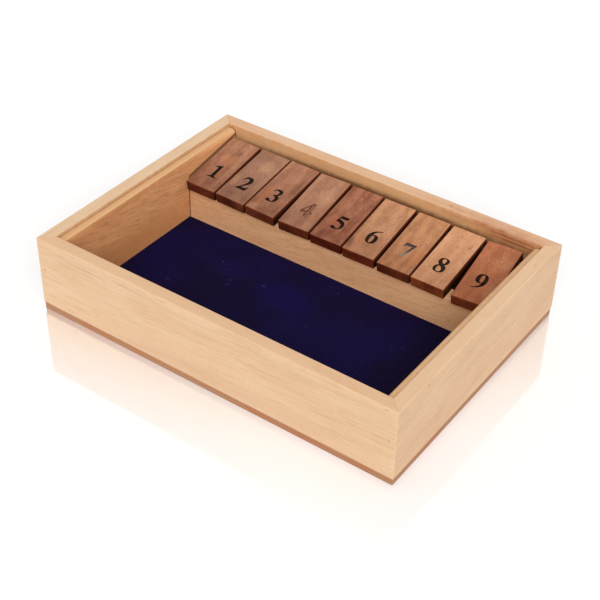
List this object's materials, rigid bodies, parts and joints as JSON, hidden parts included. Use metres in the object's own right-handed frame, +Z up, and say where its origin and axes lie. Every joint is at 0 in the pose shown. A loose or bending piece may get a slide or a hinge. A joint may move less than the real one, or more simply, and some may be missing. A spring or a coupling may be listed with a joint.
{
  "type": "shut the box game",
  "caption": "Open wooden dice tray with a velvet floor and a row of numbered flip tiles hinged on a hidden rod along the back.",
  "frame": {"origin": "middle of the underside of the box, on the surface it stands on", "axes": "+X to the right along the front, +Y from the front to the tiles and the back wall, +Z up"},
  "size_m": [0.28, 0.202, 0.058],
  "materials": {
    "beech": "pale straight-grained beech under a thin satin lacquer",
    "beech_strip": "darker beech with short ray flecks, satin",
    "base_panel": "thin brown plywood panel, matt",
    "floor_board": "bare thin board",
    "velvet": "navy velvet, short pile",
    "rosewood": "oiled rosewood, colour varies from tile to tile, black inked numerals",
    "steel": "plain drawn wire",
    "filler": "sanded wood filler"
  },
  "bodies": {
    "box": {"base_panel": "base_panel", "front_wall": "beech", "back_wall": "beech", "left_wall": "beech", "right_wall": "beech", "left_strip": "beech_strip", "right_strip": "beech_strip", "floor_board": "floor_board", "floor_cloth": "velvet", "tile_rail": "beech_strip", "hinge_rod": "steel", "corner_pins": "steel", "pin_filler": "filler", "base_brads": "steel"},
    "tile_1": {"tile_1": "rosewood"},
    "tile_2": {"tile_2": "rosewood"},
    "tile_3": {"tile_3": "rosewood"},
    "tile_4": {"tile_4": "rosewood"},
    "tile_5": {"tile_5": "rosewood"},
    "tile_6": {"tile_6": "rosewood"},
    "tile_7": {"tile_7": "rosewood"},
    "tile_8": {"tile_8": "rosewood"},
    "tile_9": {"tile_9": "rosewood"}
  },
  "joints": [
    {"name": "tile_1_hinge", "type": "hinge", "parent": "box", "child": "tile_1", "pos_m": [-0.1111, 0.08233, 0.0445], "axis": [-1, 0, 0], "range_deg": [0, 118]},
    {"name": "tile_2_hinge", "type": "hinge", "parent": "box", "child": "tile_2", "pos_m": [-0.084, 0.08233, 0.0445], "axis": [-1, 0, 0], "range_deg": [0, 118]},
    {"name": "tile_3_hinge", "type": "hinge", "parent": "box", "child": "tile_3", "pos_m": [-0.05779, 0.08233, 0.0445], "axis": [-1, 0, 0], "range_deg": [0, 118]},
    {"name": "tile_4_hinge", "type": "hinge", "parent": "box", "child": "tile_4", "pos_m": [-0.02979, 0.08233, 0.0445], "axis": [-1, 0, 0], "range_deg": [0, 118]},
    {"name": "tile_5_hinge", "type": "hinge", "parent": "box", "child": "tile_5", "pos_m": [-0.0026, 0.08233, 0.0445], "axis": [-1, 0, 0], "range_deg": [0, 118]},
    {"name": "tile_6_hinge", "type": "hinge", "parent": "box", "child": "tile_6", "pos_m": [0.02421, 0.08233, 0.0445], "axis": [-1, 0, 0], "range_deg": [0, 118]},
    {"name": "tile_7_hinge", "type": "hinge", "parent": "box", "child": "tile_7", "pos_m": [0.052, 0.08233, 0.0445], "axis": [-1, 0, 0], "range_deg": [0, 118]},
    {"name": "tile_8_hinge", "type": "hinge", "parent": "box", "child": "tile_8", "pos_m": [0.079, 0.08233, 0.0445], "axis": [-1, 0, 0], "range_deg": [0, 118]},
    {"name": "tile_9_hinge", "type": "hinge", "parent": "box", "child": "tile_9", "pos_m": [0.1082, 0.08233, 0.0445], "axis": [-1, 0, 0], "range_deg": [0, 118]}
  ]
}
